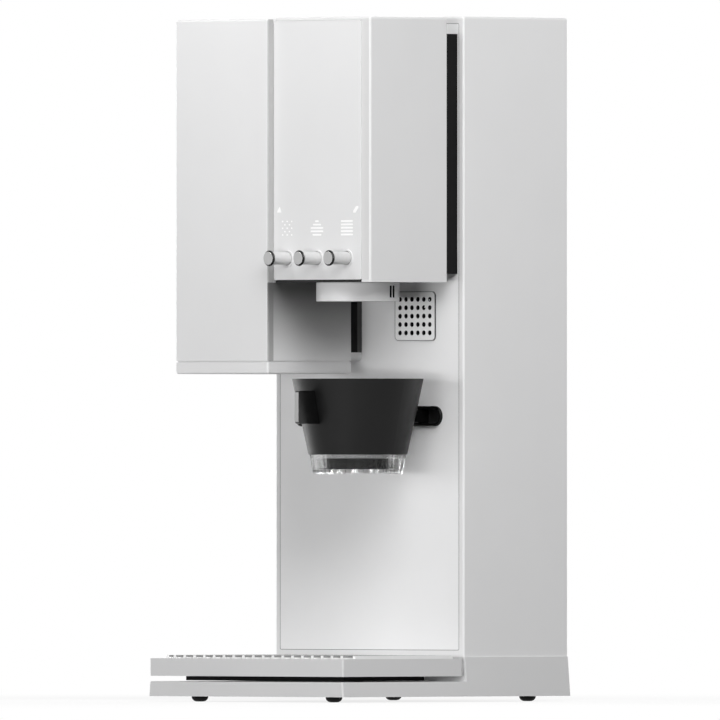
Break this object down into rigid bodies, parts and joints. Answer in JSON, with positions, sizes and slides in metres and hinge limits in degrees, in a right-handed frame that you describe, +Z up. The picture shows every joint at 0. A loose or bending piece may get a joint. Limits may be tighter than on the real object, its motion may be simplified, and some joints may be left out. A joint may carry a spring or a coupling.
{
  "type": "pour-over coffee maker",
  "caption": "Slim countertop pour-over coffee maker with a grinder and a brew head on a tower, press-and-turn knobs, a sliding dripper, and a slotted drip tray on a scale.",
  "frame": {"origin": "on the worktop, under the middle of the base's outline", "axes": "+Z up, -Y to the front where the knobs are, +X to the right as seen from the front"},
  "size_m": [0.175, 0.2052, 0.435],
  "materials": {
    "shell": "satin light grey",
    "shell_metal": "satin light grey paint",
    "head_metal": "satin near-white paint",
    "shell_plastic": "satin light grey",
    "wall_panel": "satin light grey",
    "vent_plate": "matte light grey",
    "control_face": "smooth near-white",
    "knob_metal": "turned, brushed end",
    "black_plastic": "matte black",
    "black_gloss": "gloss black",
    "dark_plastic": "matte dark grey",
    "dripper_grey": "satin dark grey",
    "clear_plastic": "clear",
    "smoke_clear": "smoked clear",
    "light_guide": "frosted clear",
    "silicone": "milky silicone",
    "rubber": "black rubber",
    "steel": "brushed",
    "motor_steel": "dark zinc",
    "alloy": "cast",
    "circuit_board": "solder mask"
  },
  "bodies": {
    "machine": {"base_plate": "shell", "tower_foot": "shell", "bottom_cover": "dark_plastic", "rubber_feet": "rubber", "cover_screws": "steel", "load_cell": "alloy", "scale_carrier": "black_plastic", "tower_shell": "shell_metal", "front_panel": "wall_panel", "back_cover": "shell_plastic", "track_bezel": "black_gloss", "vent_grille": "vent_plate", "fan_frame": "black_plastic", "neck": "black_plastic", "neck_shelf": "shell_plastic", "grinder_casing": "head_metal", "grinder_base": "shell_plastic", "bean_hopper": "smoke_clear", "burr_housing": "alloy", "ring_burr": "steel", "grinder_motor": "motor_steel", "grounds_chute": "black_plastic", "brew_casing": "shell_plastic", "control_panel": "control_face", "knob_encoders": "black_plastic", "display_board": "circuit_board", "light_guides": "light_guide", "shower_head": "shell_plastic", "water_nozzle": "silicone", "heater": "alloy", "water_pump": "dark_plastic", "power_supply": "dark_plastic", "main_board": "circuit_board", "water_hoses": "silicone", "mains_inlet": "black_plastic", "tank_dock": "dark_plastic", "guide_rods": "steel", "rail_brackets": "alloy", "carriage_motor": "motor_steel"},
    "drip_tray": {"drip_tray": "shell_plastic"},
    "drip_grille": {"drip_grille": "steel"},
    "hopper_lid": {"hopper_lid": "shell_plastic"},
    "burr": {"burr_rotor": "steel"},
    "fan": {"fan_rotor": "dark_plastic"},
    "water_tank": {"water_tank": "smoke_clear"},
    "tank_lid": {"tank_lid": "shell_plastic"},
    "carriage": {"carriage_arm": "black_gloss", "carriage_block": "dark_plastic"},
    "lead_screw": {"lead_screw": "steel"},
    "dripper": {"dripper_cone": "dripper_grey", "dripper_ring": "clear_plastic", "drip_valve": "black_plastic", "dripper_handle": "black_gloss"},
    "grind_plunger": {"grind_plunger": "steel"},
    "grind_knob": {"grind_knob": "knob_metal"},
    "water_plunger": {"water_plunger": "steel"},
    "water_knob": {"water_knob": "knob_metal"},
    "recipe_plunger": {"recipe_plunger": "steel"},
    "recipe_knob": {"recipe_knob": "knob_metal"}
  },
  "joints": [
    {"name": "tray_lift", "type": "slide", "parent": "machine", "child": "drip_tray", "axis": [0, 0, 1], "range_m": [0, 0.06]},
    {"name": "grille_lift", "type": "slide", "parent": "drip_tray", "child": "drip_grille", "axis": [0, 0, 1], "range_m": [0, 0.04]},
    {"name": "hopper_lid_lift", "type": "slide", "parent": "machine", "child": "hopper_lid", "axis": [0, 0, 1], "range_m": [0, 0.06]},
    {"name": "tank_lift", "type": "slide", "parent": "machine", "child": "water_tank", "axis": [0, 0, 1], "range_m": [0, 0.17]},
    {"name": "tank_lid_lift", "type": "slide", "parent": "water_tank", "child": "tank_lid", "axis": [0, 0, 1], "range_m": [0, 0.04]},
    {"name": "carriage_slide", "type": "slide", "parent": "machine", "child": "carriage", "axis": [-1, 0, 0], "range_m": [0, 0.0847]},
    {"name": "screw_spin", "type": "hinge", "parent": "machine", "child": "lead_screw", "pos_m": [0, 0.0244, 0.1814], "axis": [1, 0, 0], "range_deg": [0, 1530]},
    {"name": "dripper_pull", "type": "slide", "parent": "carriage", "child": "dripper", "axis": [0, -1, 0], "range_m": [0, 0.12]},
    {"name": "grind_press", "type": "slide", "parent": "machine", "child": "grind_plunger", "axis": [0, 1, 0], "range_m": [0, 0.001], "stiffness_N_per_m": 600, "springref_m": -0.001},
    {"name": "grind_turn", "type": "hinge", "parent": "grind_plunger", "child": "grind_knob", "pos_m": [0.01115, -0.0865, 0.2814], "axis": [0, -1, 0], "continuous": true},
    {"name": "water_press", "type": "slide", "parent": "machine", "child": "water_plunger", "axis": [0, 1, 0], "range_m": [0, 0.001], "stiffness_N_per_m": 600, "springref_m": -0.001},
    {"name": "water_turn", "type": "hinge", "parent": "water_plunger", "child": "water_knob", "pos_m": [0.03795, -0.0865, 0.2814], "axis": [0, -1, 0], "continuous": true},
    {"name": "recipe_press", "type": "slide", "parent": "machine", "child": "recipe_plunger", "axis": [0, 1, 0], "range_m": [0, 0.001], "stiffness_N_per_m": 600, "springref_m": -0.001},
    {"name": "recipe_turn", "type": "hinge", "parent": "recipe_plunger", "child": "recipe_knob", "pos_m": [0.06475, -0.0865, 0.2814], "axis": [0, -1, 0], "continuous": true},
    {"name": "burr_spin", "type": "hinge", "parent": "machine", "child": "burr", "pos_m": [-0.04295, -0.0438, 0.355], "axis": [0, 0, 1], "continuous": true},
    {"name": "fan_spin", "type": "hinge", "parent": "machine", "child": "fan", "pos_m": [0.04175, 0.0164, 0.245], "axis": [0, 1, 0], "continuous": true}
  ],
  "couplings": [
    {"joint": "screw_spin", "follows": "carriage_slide", "rad_per_m": 314.16}
  ]
}
